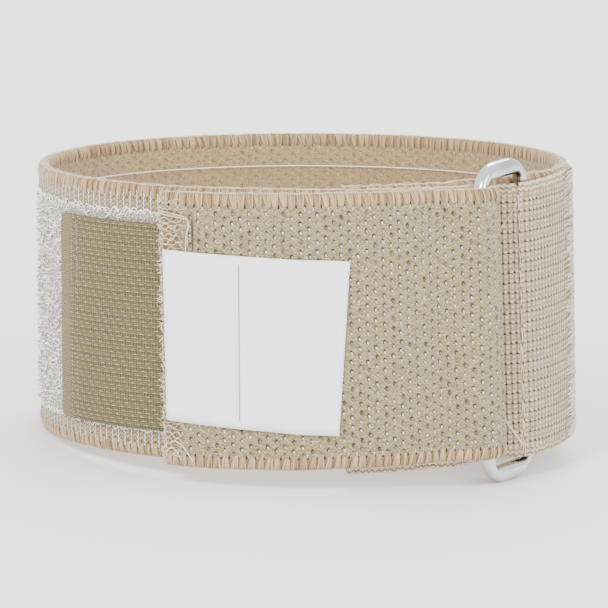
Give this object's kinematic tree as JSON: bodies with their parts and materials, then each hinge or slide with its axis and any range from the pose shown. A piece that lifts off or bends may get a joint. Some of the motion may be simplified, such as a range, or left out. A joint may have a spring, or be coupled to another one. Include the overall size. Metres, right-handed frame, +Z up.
{
  "type": "tennis elbow strap with clear former strip",
  "caption": "Wide beige elastic forearm strap closed in a loop through a plated metal ring, with a hook tape, a sewn webbing tab, a plain white label and a clear strip inside.",
  "frame": {"origin": "under the middle of the whole strap, on the surface that it stands on", "axes": "+Z up, the way that the loop stands, with the loop's own axis leaning about 3.5 degrees from it; -Y towards the label and the overlap; +X towards the ring"},
  "size_m": [0.1058, 0.1004, 0.0609],
  "materials": {
    "elastic": "matt, woven",
    "webbing": "matt, fine woven",
    "hook_tape": "matt, ribbed",
    "label": "smooth, satin",
    "plated_steel": "bright plated",
    "clear_film": "clear, smooth"
  },
  "bodies": {
    "root": {"elastic_band": "elastic", "webbing_tab": "webbing", "hook_tape": "hook_tape", "label": "label", "ring": "plated_steel", "former_strip": "clear_film"}
  },
  "joints": []
}
